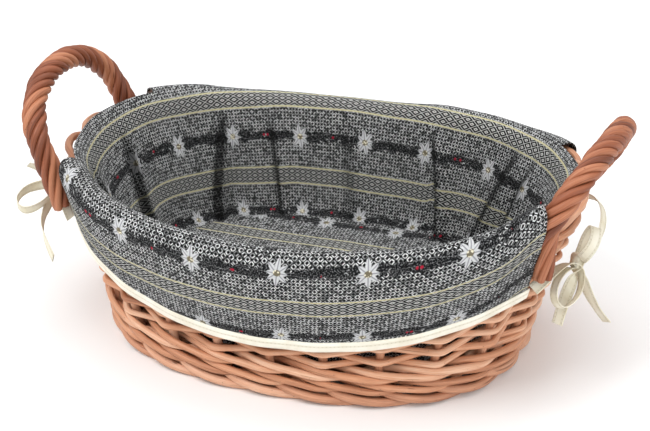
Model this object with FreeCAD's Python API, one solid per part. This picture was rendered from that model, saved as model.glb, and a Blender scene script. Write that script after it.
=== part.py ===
"""Oval willow bread basket with a cloth liner, two roped handles and tie tapes (millimetres, +Z up).

The origin is on the floor under the middle of the basket, +X runs along its length, and the
front is -Y. A place on the side is given as (u, z, off): u counts stakes round the basket
from the right end, z is the height at the middle of a long side, and off is the distance
outwards from the stake line. The rounds of weaving and the rim climb a little to the ends.
"""
import FreeCAD
import Part
import math
import os
from FreeCAD import Vector

# ---- driving dimensions ----
STAKE_COUNT = 24
STAKE_R = 2.8                      # upright rods, foot and border are the same rods
WEAVER_R = 2.2                     # rods woven through the stakes
TOUCH = 0.1                        # clearance between touching rods
FOOT_OVAL = (141.0, 111.0, 2.45)   # stake line at the base: half length, half width, exponent
RIM_OVAL = (171.0, 126.0, 2.2)     # stake line at the rim
WALL_BOTTOM_Z = 14.0
WALL_TOP_Z = 105.0                 # at the middle of the long sides
END_RISE = 9.0                     # the rim stands this much higher at the two ends
BACK_DIP = 8.0                     # and this much lower in the middle of the back
WALE_HALF_STEP = 2.45              # height of the two front strands above and below a wale's middle
LOWER_WALE_Z = (15.0, 24.7)
UPPER_WALE_Z = 95.8
ROW_COUNT = 13
ROW_FIRST_Z = 32.0
ROW_STEP = 4.72
BASE_Z = 9.5
CROSS_STICK_R = 3.2
LONG_STICK_R = 2.0
BASE_WEAVER_R = 2.1
BASE_RING_COUNT = 17
GROUP_RINGS = 4                    # first rings pass over whole groups of sticks
LINER_T = 1.2
LINER_OFF = -8.5                   # outer face of the liner wall
LINER_FLOOR_Z = 19.0
LINER_TOP_Z = 104.0
CUFF_OFF = 9.8                     # inner face of the cuff, outside the border
CREST_Z = 114.5
CUFF_HALF_LENGTH = 156.0
HEM_MIDDLE_Z = 46.0
HEM_END_Z = 75.0
HEM_TAPE_WIDTH = 7.0
HANDLE_CORE_R = 3.1
HANDLE_STRAND_R = 2.3
HANDLE_STRANDS = 6
HANDLE_PITCH = 48.0                # length of bow for one turn of a strand
HANDLE_LEG_X = 171.0
HANDLE_LEG_Y = 60.0
HANDLE_FOOT_X = 162.0
HANDLE_FOOT_Z = 90.0
HANDLE_RISE_Z = 120.0
HANDLE_TOP_X = 190.5
HANDLE_BOWS = {1: (159.0, -4.0, 10.5),     # each end's top z, shift along y and twist
               -1: (166.0, -8.0, 0.0)}
TAPE_R = 2.0                       # a folded tie tape, as a plain round core
PATH_SHARE = 0.45                  # share of the shorter run that a bend may take
WALE_SHARE = 0.25                  # the same for a wale's strands
ROW_SHARE = 0.12                   # the same for the sharp bends of the randing

OVAL_STEPS = 1440
EPS = 1e-6


def oval_table(half_x, half_y, exponent):
    """Points of a superellipse with their distance along it, starting at +X."""
    table = []
    length = 0.0
    last = None
    for step in range(OVAL_STEPS + 1):
        angle = 2 * math.pi * step / OVAL_STEPS
        c = math.cos(angle)
        s = math.sin(angle)
        r = (abs(c / half_x) ** exponent + abs(s / half_y) ** exponent) ** (-1 / exponent)
        point = (r * c, r * s)
        if last is not None:
            length += math.hypot(point[0] - last[0], point[1] - last[1])
        table.append((length, point))
        last = point
    return table


def along(table, u):
    """Point and outward normal at u stakes round the oval."""
    total = table[-1][0]
    target = (u % STAKE_COUNT) / STAKE_COUNT * total
    low = 0
    high = OVAL_STEPS
    while high - low > 1:
        middle = (low + high) // 2
        if table[middle][0] <= target:
            low = middle
        else:
            high = middle
    l0, p0 = table[low]
    l1, p1 = table[high]
    t = (target - l0) / (l1 - l0)
    dx = p1[0] - p0[0]
    dy = p1[1] - p0[1]
    size = math.hypot(dx, dy)
    return p0[0] + dx * t, p0[1] + dy * t, dy / size, -dx / size


FOOT_TABLE = oval_table(*FOOT_OVAL)
RIM_TABLE = oval_table(*RIM_OVAL)


def wall_point(u, z, off):
    """Place on the flaring side of the basket."""
    t = max(0.0, (z - WALL_BOTTOM_Z) / (WALL_TOP_Z - WALL_BOTTOM_Z))
    fx, fy, fnx, fny = along(FOOT_TABLE, u)
    rx, ry, rnx, rny = along(RIM_TABLE, u)
    nx = fnx + (rnx - fnx) * t
    ny = fny + (rny - fny) * t
    size = math.hypot(nx, ny)
    x = fx + (rx - fx) * t + nx / size * off
    y = fy + (ry - fy) * t + ny / size * off
    turn = 2 * math.pi * u / STAKE_COUNT
    rise = END_RISE * math.cos(turn) ** 2 - BACK_DIP * max(0.0, math.sin(turn))
    return Vector(x, y, z + rise * t)


def rounded_path(points, share=PATH_SHARE, report=None):
    """Straight runs joined by tangent arcs, each arc taking its share of the shorter run."""
    edges = []
    start = points[0]
    radii = []
    for i in range(1, len(points) - 1):
        before = points[i] - points[i - 1]
        after = points[i + 1] - points[i]
        run = min(before.Length, after.Length)
        d0 = Vector(before).normalize()
        d1 = Vector(after).normalize()
        turn = d0.getAngle(d1)
        if turn < 0.002:
            continue
        cut = share * run
        radii.append(cut / math.tan(turn / 2))
        enter = points[i] - d0 * cut
        leave = points[i] + d1 * cut
        bisector = (d1 - d0).normalize()
        radius = radii[-1]
        depth = radius / math.cos(turn / 2) - radius
        middle = points[i] + bisector * depth
        if (enter - start).Length > EPS:
            edges.append(Part.LineSegment(start, enter).toShape())
        edges.append(Part.Arc(enter, middle, leave).toShape())
        start = leave
    edges.append(Part.LineSegment(start, points[-1]).toShape())
    if report:
        print(report, "length %.0f" % sum(edge.Length for edge in edges),
              "bend radii", " ".join("%.0f" % radius for radius in radii))
    return Part.Wire(edges)


def rod(points, radius, share=PATH_SHARE, report=None):
    """Round rod along straight runs and tangent arcs."""
    path = rounded_path(points, share, report)
    direction = points[1] - points[0]
    profile = Part.Wire([Part.makeCircle(radius, points[0], direction)])
    solid = path.makePipeShell([profile], True, False)
    if solid.Volume < 0:
        solid.reverse()
    expected = math.pi * radius ** 2 * path.Length
    if not solid.isValid() or abs(solid.Volume / expected - 1) > 0.03:
        print("check rod", solid.isValid(), round(solid.Volume / expected, 3))
    return solid


def save(name, solids):
    """Write one node."""
    shape = solids[0] if len(solids) == 1 else Part.makeCompound(solids)
    shape.exportStep("parts/" + name + ".step")


# ---- willow uprights, foot and border ----
def stake(k):
    """One rod: foot toe on the floor, upright between the weavers, end laid down in the border."""
    floor_z = STAKE_R
    route = [(2.3, 4.6, -5.2), (1.9, 3.0, -1.8), (1.45, floor_z, 1.9), (0.95, 4.8, 5.8),
             (0.45, 7.8, 5.6), (0.04, 10.6, 0.6), (0.0, 19.0, 0.0), (0.0, 62.0, 0.0),
             (0.0, 99.0, 0.0), (0.15, 104.5, 3.3), (0.5, 109.2, 5.5), (0.92, 109.8, 4.2),
             (1.18, 110.0, 0.6), (1.5, 107.5, -3.4), (1.9, 102.8, -5.6)]
    points = []
    for u, z, off in route:
        points.append(wall_point(k + u, z, off + (0.02 if u == 0 and z == 62.0 else 0.0)))
    return rod(points, STAKE_R)


def weave_row(index):
    """One round of randing: in front of one stake and behind the next."""
    z = ROW_FIRST_Z + ROW_STEP * index
    reach = STAKE_R + WEAVER_R + TOUCH + 0.6
    first = 5 * index % STAKE_COUNT
    points = []
    for step in range(STAKE_COUNT + 1):
        k = first + step
        side = 1 if (k + index) % 2 else -1
        u = k
        if step == 0:
            u = k + 0.04
        if step == STAKE_COUNT:
            u = k - 0.04
        points.append(wall_point(u, z, side * reach))
    return rod(points, WEAVER_R, ROW_SHARE)


def wale_strand(strand, middle_z, start):
    """One of three strands of a wale: in front of two stakes and behind the third."""
    reach = STAKE_R + WEAVER_R + TOUCH + 0.3
    first = start + strand
    points = []
    for step in range(STAKE_COUNT + 1):
        phase = step % 3
        k = first + step
        u = k + (0.05 if step == 0 else 0.0) - (0.05 if step == STAKE_COUNT else 0.0)
        if phase == 0:
            points.append(wall_point(u, middle_z, -reach - 0.5))
            half = (0.0, WALE_HALF_STEP)
        elif phase == 1:
            points.append(wall_point(u, middle_z + WALE_HALF_STEP, reach + 0.1))
            half = (reach + 0.7, 0.0)
        else:
            points.append(wall_point(u, middle_z - WALE_HALF_STEP, reach + 0.1))
            half = (0.0, -WALE_HALF_STEP)
        if step < STAKE_COUNT:
            points.append(wall_point(k + 0.5, middle_z + half[1], half[0]))
    return rod(points, WEAVER_R, WALE_SHARE)


def wale(middle_z, start):
    """A round of three-rod waling."""
    return [wale_strand(strand, middle_z, start) for strand in range(3)]


# ---- base ----
SLATH_X = 46.0
SLATH_Y = 17.0
CROSS_STEP = 12.0
LONG_STEP = 8.5


def ray_inner(k):
    """Where base stick k leaves the crossed middle of the base."""
    k = k % STAKE_COUNT
    if k <= 2 or k >= 22:
        row = k if k <= 2 else k - STAKE_COUNT
        return Vector(SLATH_X, row * LONG_STEP, BASE_Z)
    if k <= 9:
        return Vector((6 - k) * CROSS_STEP, SLATH_Y, BASE_Z)
    if k <= 14:
        return Vector(-SLATH_X, (12 - k) * LONG_STEP, BASE_Z)
    return Vector((k - 18) * CROSS_STEP, -SLATH_Y, BASE_Z)


def ray_outer(k):
    """Where base stick k ends, against the inside of stake k."""
    return wall_point(k, BASE_Z, -STAKE_R - LONG_STICK_R - 3.5)


def is_cross(k):
    """Base sticks 3 to 9 and 15 to 21 are the short cross sticks."""
    return 3 <= k % 12 <= 9


def base_long_sticks():
    """Three sticks along the base, through the slit cross sticks, fanned out at the ends."""
    sticks = []
    for row in (-1, 0, 1):
        right = ray_outer(row)
        left = ray_outer(12 - row)
        points = [right, ray_inner(row), ray_inner(12 - row), left]
        if row == 0:
            points = [right, left]
        sticks.append(rod(points, LONG_STICK_R))
    return sticks


def base_cross_sticks():
    """Seven short sticks across the base, slit for the long sticks."""
    sticks = []
    for k in range(3, 10):
        front = STAKE_COUNT - k
        points = [ray_outer(k), ray_inner(k), ray_inner(front), ray_outer(front)]
        if k == 6:
            points = [points[0], points[-1]]
        stick = rod(points, CROSS_STICK_R)
        x = (6 - k) * CROSS_STEP
        for row in (-1, 0, 1):
            corner = Vector(x - CROSS_STEP / 2, row * LONG_STEP, BASE_Z)
            hole = Part.makeCylinder(LONG_STICK_R + TOUCH, CROSS_STEP, corner, Vector(1, 0, 0))
            stick = stick.cut(hole)
        sticks.append(stick.Solids[0])
    return sticks


def base_bye_sticks():
    """Four extra sticks that fill the corners of the base."""
    sticks = []
    for k in (2, 10, 14, 22):
        inner = ray_inner(k)
        outer = ray_outer(k)
        sticks.append(Part.makeCylinder(LONG_STICK_R, (outer - inner).Length, inner, outer - inner))
    return sticks


def base_ring(index):
    """One round of base weaving, over and under groups of sticks first, then single sticks."""
    share = (index + 0.6) / (BASE_RING_COUNT + 0.1)
    points = []
    for k in range(1, STAKE_COUNT + 2):
        stick_r = CROSS_STICK_R if is_cross(k) else LONG_STICK_R
        reach = stick_r + BASE_WEAVER_R + TOUCH + 0.4
        if index < GROUP_RINGS:
            side = 1 if is_cross(k) else -1
            side = side if index % 2 else -side
        else:
            side = 1 if (k + index) % 2 else -1
        point = ray_inner(k) + (ray_outer(k) - ray_inner(k)) * share
        point.z += side * reach
        points.append(point)
    gap = (points[1] - points[0]).normalize()
    points[-1] = points[-1] - gap * (BASE_WEAVER_R * 2)
    return rod(points, BASE_WEAVER_R)


# ---- cloth liner ----
def ring_wire(z, off, flat=False):
    """Closed smooth oval at one height and offset."""
    points = [wall_point(u / 2, z, off) for u in range(2 * STAKE_COUNT)]
    if flat:
        points = [Vector(point.x, point.y, z) for point in points]
    curve = Part.BSplineCurve()
    curve.interpolate(Points=points, PeriodicFlag=True)
    return Part.Wire([curve.toShape()])


def liner_floor():
    off = LINER_OFF - 0.3
    rings = [ring_wire(z, off, True) for z in (LINER_FLOOR_Z, LINER_FLOOR_Z + LINER_T)]
    return Part.makeLoft(rings, True, True)


def ring_solid(sections):
    """Closed ring of cloth: its cross section is the outline through these (z, off) corners."""
    wires = [ring_wire(z, off) for z, off in sections]
    shell = Part.makeLoft(wires, False, True, True)
    solid = Part.makeSolid(shell.Shells[0] if shell.Shells else shell)
    if solid.Volume < 0:
        solid.reverse()
    return solid


def liner_wall():
    bottom = LINER_FLOOR_Z + LINER_T
    inner = LINER_OFF - LINER_T
    return ring_solid([(bottom, LINER_OFF), (LINER_TOP_Z, LINER_OFF), (LINER_TOP_Z, inner), (bottom, inner)])


def roll_sections(growth, hem_z):
    """Outer face of the cloth over the border, from the hem up and over to the inside."""
    crest = CREST_Z + growth
    out = CUFF_OFF + growth
    inside = LINER_OFF - growth
    return [(hem_z, out), (LINER_TOP_Z, out), (109.5, out - 1.4), (crest - 1.4, out - 4.4), (crest, 0.5),
            (crest - 1.4, inside + 4.4), (109.5, inside + 1.4), (LINER_TOP_Z, inside)]


def roll_ring(hem_z):
    """Closed ring of cloth draped over the border."""
    return ring_solid(roll_sections(LINER_T, hem_z) + roll_sections(0.0, hem_z)[::-1])


def hem_face(side, lift, top_z):
    """Outline of a cuff seen from the front: an arc along the hem and straight sides up to top_z."""
    left = Vector(-CUFF_HALF_LENGTH, 0, HEM_END_Z + lift)
    right = Vector(CUFF_HALF_LENGTH, 0, HEM_END_Z + lift)
    middle = Vector(0, 0, HEM_MIDDLE_Z + lift)
    top_right = Vector(CUFF_HALF_LENGTH, 0, top_z)
    top_left = Vector(-CUFF_HALF_LENGTH, 0, top_z)
    wire = Part.Wire([Part.Arc(left, middle, right).toShape(),
                      Part.LineSegment(right, top_right).toShape(),
                      Part.LineSegment(top_right, top_left).toShape(),
                      Part.LineSegment(top_left, left).toShape()])
    return Part.Face(wire).extrude(Vector(0, 220 * side, 0))


def cuff(side):
    """Cloth turned over the border on one long side, between the handle legs."""
    return roll_ring(HEM_MIDDLE_Z - 5).common(hem_face(side, 0.0, CREST_Z + 10)).Solids[0]


def hem_tape(side):
    """Bias tape along the hem of a cuff."""
    bottom = HEM_MIDDLE_Z - 8
    off = CUFF_OFF + LINER_T + TOUCH
    out = off + LINER_T
    band = ring_solid([(bottom, off), (LINER_TOP_Z, off), (LINER_TOP_Z, out), (bottom, out)])
    band = band.common(hem_face(side, -1.0, CREST_Z))
    return band.cut(hem_face(side, HEM_TAPE_WIDTH - 1.0, CREST_Z + 10)).Solids[0]


# ---- handles ----
def handle_point(end, t):
    """Centre line of a handle's bow, t from 0 (front leg) to 1 (back leg)."""
    top_z, shift, twist = HANDLE_BOWS[end]
    angle = math.pi * t
    power = 2 / 2.3
    rise = math.sin(angle) ** power if 0 < t < 1 else 0.0
    across = -math.copysign(abs(math.cos(angle)) ** power, math.cos(angle))
    x = HANDLE_LEG_X + (HANDLE_TOP_X - HANDLE_LEG_X) * rise + twist * across
    z = HANDLE_RISE_Z + (top_z - HANDLE_RISE_Z) * rise
    return Vector(end * x, HANDLE_LEG_Y * across + shift, z)


def handle_route(end):
    """Whole centre line: up from the wall, round the bow and down to the wall."""
    arch = [handle_point(end, t / 12) for t in (0, 1, 2, 3.5, 5.2, 6.8, 8.5, 10, 11, 12)]
    shift = HANDLE_BOWS[end][1]
    front = Vector(end * HANDLE_FOOT_X, shift / 2 - HANDLE_LEG_Y - 4, HANDLE_FOOT_Z)
    back = Vector(end * HANDLE_FOOT_X, shift / 2 + HANDLE_LEG_Y + 4, HANDLE_FOOT_Z)
    return [front] + arch + [back]


def handle_core(end):
    return rod(handle_route(end), HANDLE_CORE_R)


def frame_at(points, distance):
    """Point, tangent and two cross directions at a distance along a polyline."""
    i = 0
    while i < len(points) - 2 and distance > (points[i + 1] - points[i]).Length:
        distance -= (points[i + 1] - points[i]).Length
        i += 1
    tangent = (points[i + 1] - points[i]).normalize()
    centre = points[i] + tangent * distance
    side = tangent.cross(Vector(1, 0, 0.25)).normalize()
    return centre, side, tangent.cross(side)


def handle_strands(end):
    """Rods twisted right-handed round the core."""
    path = rounded_path(handle_route(end))
    count = 40
    spine = path.discretize(Number=count * 4 + 1)
    step = path.Length / count
    turns = path.Length / HANDLE_PITCH
    radius = HANDLE_CORE_R + HANDLE_STRAND_R + TOUCH
    strands = []
    for strand in range(HANDLE_STRANDS):
        points = []
        for i in range(count + 1):
            centre, side, other = frame_at(spine, min(i * step, path.Length - 0.5))
            angle = 2 * math.pi * (strand / HANDLE_STRANDS + turns * i / count)
            points.append(centre + side * (radius * math.cos(angle)) + other * (radius * math.sin(angle)))
        strands.append(rod(points, HANDLE_STRAND_R))
    return strands


# ---- tie tapes ----
RIGHT_FRONT_TIE = [(157, -68, 81), (168, -56, 91), (177, -44, 92), (184, -44, 84), (184, -56, 74),
                   (176, -68, 69), (169, -68, 77), (170, -57, 87), (177, -44, 89), (183, -40, 79),
                   (188, -40, 68), (194, -39, 57), (201, -36, 47)]
RIGHT_BACK_TIE = [(157, 68, 81), (176, 46, 95), (187, 20, 99), (190, -6, 97), (186, -28, 92),
                  (180, -40, 91), (184, -51, 99), (190, -50, 110), (189, -39, 117), (184, -33, 107),
                  (181, -38, 94), (179, -49, 83), (175, -58, 70), (173, -63, 56)]
LEFT_FRONT_TIE = [(-157, -68, 81), (-168, -56, 91), (-177, -44, 92), (-188, -45, 91), (-198, -54, 90),
                  (-200, -66, 86), (-191, -72, 82), (-182, -64, 84), (-178, -51, 89), (-183, -43, 96),
                  (-190, -44, 102), (-197, -48, 106)]
LEFT_BACK_TIE = [(-157, 68, 81), (-176, 46, 93), (-186, 20, 97), (-188, -6, 96), (-185, -26, 93),
                 (-180, -40, 89), (-181, -54, 82), (-180, -68, 75), (-172, -81, 69), (-160, -92, 62)]
TIES = {"right_front_tie": RIGHT_FRONT_TIE, "right_back_tie": RIGHT_BACK_TIE,
        "left_front_tie": LEFT_FRONT_TIE, "left_back_tie": LEFT_BACK_TIE}


def tie(name):
    """A tape from the cuff's corner, round the end of the basket and into the bow."""
    points = [Vector(*point) for point in TIES[name]]
    return rod(points, TAPE_R, PATH_SHARE, name)


def bow_knot(end):
    """The tight knot in the middle of a bow."""
    ball = Part.makeSphere(5.0)
    squash = FreeCAD.Matrix()
    squash.scale(0.8, 1.3, 1.0)
    knot = ball.transformGeometry(squash)
    knot.translate(Vector(end * 179.0, -41.0, 91.0))
    return knot


def build():
    os.makedirs("parts", exist_ok=True)
    for k in range(STAKE_COUNT):
        save("stake_%02d" % (k + 1), [stake(k)])
    save("base_long_sticks", base_long_sticks())
    save("base_cross_sticks", base_cross_sticks())
    save("base_bye_sticks", base_bye_sticks())
    save("base_weave", [base_ring(index) for index in range(BASE_RING_COUNT)])
    for index, z in enumerate(LOWER_WALE_Z):
        save("lower_wale_%d" % (index + 1), wale(z, 7 * index))
    for index in range(ROW_COUNT):
        save("weave_row_%02d" % (index + 1), [weave_row(index)])
    save("upper_wale", wale(UPPER_WALE_Z, 5))
    save("liner_floor", [liner_floor()])
    save("liner_wall", [liner_wall()])
    for side, word in ((-1, "front"), (1, "back")):
        save(word + "_cuff", [cuff(side)])
        save(word + "_hem_tape", [hem_tape(side)])
    for end, word in ((1, "right"), (-1, "left")):
        save(word + "_handle_core", [handle_core(end)])
        save(word + "_handle_strands", handle_strands(end))
        save(word + "_bow_knot", [bow_knot(end)])
    for name in TIES:
        save(name, [tie(name)])


build()
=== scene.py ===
"""Oval willow bread basket with a printed cloth liner, roped handles and tie tapes.

Blender works in metres, in the frame of the CAD: origin on the floor under the middle of the
basket, +X along its length, the front is -Y. Shapes are worked out in millimetres and scaled
when a mesh is made. A place on the side is (u, z, off): u counts stakes round the basket from
the right end, z is the height at the middle of a long side, off is the distance outwards.
"""
import bpy
import math
import numpy as np
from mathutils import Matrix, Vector


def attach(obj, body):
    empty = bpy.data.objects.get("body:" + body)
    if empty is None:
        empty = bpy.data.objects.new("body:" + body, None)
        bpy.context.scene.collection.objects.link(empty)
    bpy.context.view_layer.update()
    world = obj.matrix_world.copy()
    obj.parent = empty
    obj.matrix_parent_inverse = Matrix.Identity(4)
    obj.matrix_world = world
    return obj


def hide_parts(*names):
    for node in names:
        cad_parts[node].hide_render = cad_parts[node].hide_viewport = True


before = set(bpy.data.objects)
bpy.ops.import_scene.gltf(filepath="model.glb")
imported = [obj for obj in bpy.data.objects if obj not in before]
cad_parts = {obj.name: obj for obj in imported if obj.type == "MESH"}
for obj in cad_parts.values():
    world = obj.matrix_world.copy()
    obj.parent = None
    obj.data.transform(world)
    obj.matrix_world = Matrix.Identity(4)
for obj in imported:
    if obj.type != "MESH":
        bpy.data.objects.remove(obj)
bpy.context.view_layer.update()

MM = 0.001
SEED = 11
STAKE_COUNT = 24
STAKE_R = 2.9
WEAVER_R = 2.2
FOOT_OVAL = (141.0, 111.0, 2.45)
RIM_OVAL = (171.0, 126.0, 2.2)
WALL_BOTTOM_Z = 14.0
WALL_TOP_Z = 105.0
END_RISE = 9.0
BACK_DIP = 8.0
TUBE_SIDES = 10

rng = np.random.default_rng(SEED)


# ---- places on the side of the basket ----
def oval_table(half_x, half_y, exponent):
    """Places, outward normals and share of the way round of a superellipse, from +X."""
    angle = np.linspace(0, 2 * np.pi, 1441)
    c = np.cos(angle)
    s = np.sin(angle)
    r = (np.abs(c / half_x) ** exponent + np.abs(s / half_y) ** exponent) ** (-1 / exponent)
    x = r * c
    y = r * s
    length = np.concatenate([[0], np.cumsum(np.hypot(np.diff(x), np.diff(y)))])
    dx = np.gradient(x)
    dy = np.gradient(y)
    dx[0] = dx[-1] = 0
    size = np.hypot(dx, dy)
    return length / length[-1], x, y, dy / size, -dx / size, length[-1]


FOOT = oval_table(*FOOT_OVAL)
RIM = oval_table(*RIM_OVAL)


def end_rise(u):
    """How much higher the rim stands at u than at the middle of the front: the ends climb, the back dips."""
    turn = 2 * np.pi * u / STAKE_COUNT
    return END_RISE * np.cos(turn) ** 2 - BACK_DIP * np.maximum(0.0, np.sin(turn))


def side_point(u, z, off):
    """Points on the flaring side, for arrays or numbers u, z and off."""
    u, z, off = np.broadcast_arrays(np.asarray(u, float), np.asarray(z, float), np.asarray(off, float))
    share = (u % STAKE_COUNT) / STAKE_COUNT
    t = np.maximum(0.0, (z - WALL_BOTTOM_Z) / (WALL_TOP_Z - WALL_BOTTOM_Z))
    low = [np.interp(share, FOOT[0], FOOT[i]) for i in range(1, 5)]
    high = [np.interp(share, RIM[0], RIM[i]) for i in range(1, 5)]
    x, y, nx, ny = (a + (b - a) * t for a, b in zip(low, high))
    size = np.hypot(nx, ny)
    return np.stack([x + nx / size * off, y + ny / size * off, z + end_rise(u) * t], axis=-1)


# ---- smooth lines ----
def rounded(points, times=4):
    """Corner-cutting curve that keeps its two ends."""
    points = np.asarray(points, float)
    for _ in range(times):
        near = 0.75 * points[:-1] + 0.25 * points[1:]
        far = 0.25 * points[:-1] + 0.75 * points[1:]
        cut = np.stack([near, far], axis=1).reshape(-1, points.shape[1])
        points = np.concatenate([points[:1], cut[1:-1], points[-1:]])
    return points


def through(points, steps=8):
    """Smooth curve through every point."""
    points = np.asarray(points, float)
    padded = np.concatenate([2 * points[:1] - points[1:2], points, 2 * points[-1:] - points[-2:-1]])
    t = np.arange(steps)[:, None] / steps
    parts = []
    for i in range(len(points) - 1):
        a, b, c, d = padded[i:i + 4]
        parts.append(0.5 * (2 * b + (c - a) * t + (2 * a - 5 * b + 4 * c - d) * t ** 2
                            + (3 * b - 3 * c + d - a) * t ** 3))
    return np.concatenate(parts + [points[-1:]])


def bent(points, share=0.22):
    """Straight runs with a short soft bend at every point, as a stiff rod takes round a stake."""
    points = np.asarray(points, float)
    corners = [points[0]]
    for before, point, after in zip(points[:-2], points[1:-1], points[2:]):
        corners += [point + (before - point) * share, point, point + (after - point) * share]
    return rounded(np.stack(corners + [points[-1]]), 3)


def arc_length(points):
    return np.concatenate([[0], np.cumsum(np.linalg.norm(np.diff(points, axis=0), axis=1))])


def resampled(points, step):
    """The same line with points about step apart."""
    length = arc_length(points)
    places = np.linspace(0, length[-1], max(3, int(length[-1] / step) + 1))
    return np.stack([np.interp(places, length, points[:, i]) for i in range(3)], axis=-1)


def unit(v):
    return v / np.maximum(np.linalg.norm(v, axis=-1, keepdims=True), 1e-9)


def carried_frames(points):
    """Tangents and two cross directions that turn as little as they can along a line."""
    tangent = unit(np.gradient(points, axis=0))
    side = np.zeros_like(points)
    guess = np.array([0.0, 0.0, 1.0]) if abs(tangent[0, 2]) < 0.9 else np.array([1.0, 0.0, 0.0])
    for i, t in enumerate(tangent):
        guess = guess - t * guess.dot(t)
        guess = guess / np.linalg.norm(guess)
        side[i] = guess
    return tangent, side, np.cross(tangent, side)


# ---- meshes ----
class Builder:
    """Collects quads with their print coordinates and tone, then makes one object."""

    def __init__(self):
        self.verts = []
        self.faces = []
        self.uvs = []
        self.tones = []
        self.count = 0

    def grid(self, points, uv, closed_v=False, keep=None, tone=0.5):
        """Rows by columns of points; closed_v joins the last column to the first, and uv then has
        one column more than the points."""
        rows, cols = points.shape[:2]
        index = self.count + np.arange(rows * cols).reshape(rows, cols)
        row_list = np.arange(rows - 1)
        col_list = np.arange(cols if closed_v else cols - 1)
        i, j = np.meshgrid(row_list, col_list, indexing="ij")
        if keep is not None:
            chosen = keep[i, j]
            i = i[chosen]
            j = j[chosen]
        i = i.ravel()
        j = j.ravel()
        ni = (i + 1) % rows
        nj = (j + 1) % cols
        self.faces.append(np.stack([index[i, j], index[ni, j], index[ni, nj], index[i, nj]], axis=-1))
        self.uvs.append(np.stack([uv[i, j], uv[i + 1, j], uv[i + 1, j + 1], uv[i, j + 1]], axis=1))
        self.verts.append(points.reshape(-1, 3))
        self.tones.append(np.broadcast_to(tone, (rows, cols)).ravel())
        self.count += rows * cols

    def tube(self, line, radius, tone=0.5, sides=TUBE_SIDES):
        """Round rod with domed ends; radius is a number or one number for each point."""
        line = np.asarray(line, float)
        radius = np.broadcast_to(np.asarray(radius, float), len(line)).copy()
        tangent, side, other = carried_frames(line)
        length = arc_length(line)
        phase = rng.uniform(0, 6.28, 3)
        turn = np.arange(sides) * 2 * np.pi / sides
        lumps = 1 + 0.035 * np.sin(length / 9 + phase[0])[:, None] * np.cos(2 * turn + phase[1])
        lumps = lumps + 0.03 * np.sin(length / 23 + phase[2])[:, None]
        cos = (np.cos(turn) * lumps)[:, :, None]
        sin = (np.sin(turn) * lumps)[:, :, None]
        rings = line[:, None] + radius[:, None, None] * (side[:, None] * cos + other[:, None] * sin)
        caps = []
        for end, sign in ((0, -1), (-1, 1)):
            centre = line[end] + sign * tangent[end] * radius[end] * 0.35
            dome = centre + (rings[end] - line[end]) * 0.62
            tip = np.repeat((centre + sign * tangent[end] * radius[end] * 0.12)[None], sides, axis=0)
            caps.append([dome, tip + (rings[end] - line[end]) * 0.05])
        points = np.concatenate([caps[0][1][None], caps[0][0][None], rings, caps[1][0][None],
                                 caps[1][1][None]])
        along = np.concatenate([[-2, -1], length, [length[-1] + 1, length[-1] + 2]])
        around = np.arange(sides + 1) / sides * 2 * np.pi * float(np.mean(radius))
        uv = np.stack(np.meshgrid(along + rng.uniform(0, 500), around, indexing="ij"), axis=-1)
        self.grid(points, uv, closed_v=True, tone=tone)

    def make(self, name, material, replaces=()):
        verts = np.concatenate(self.verts) * MM
        faces = np.concatenate(self.faces)
        used = np.zeros(len(verts), bool)
        used[faces] = True
        renumber = np.cumsum(used) - 1
        mesh = bpy.data.meshes.new(name)
        mesh.from_pydata(verts[used].tolist(), [], renumber[faces].tolist())
        layer = mesh.uv_layers.new(name="print")
        layer.data.foreach_set("uv", np.concatenate(self.uvs).reshape(-1))
        tone = mesh.attributes.new("tone", "FLOAT", "POINT")
        tone.data.foreach_set("value", np.concatenate(self.tones)[used])
        mesh.polygons.foreach_set("use_smooth", [True] * len(mesh.polygons))
        mesh.materials.append(material)
        mesh.update()
        obj = bpy.data.objects.new(name, mesh)
        bpy.context.scene.collection.objects.link(obj)
        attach(obj, "root")
        if replaces:
            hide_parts(*replaces)
        return obj


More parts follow.
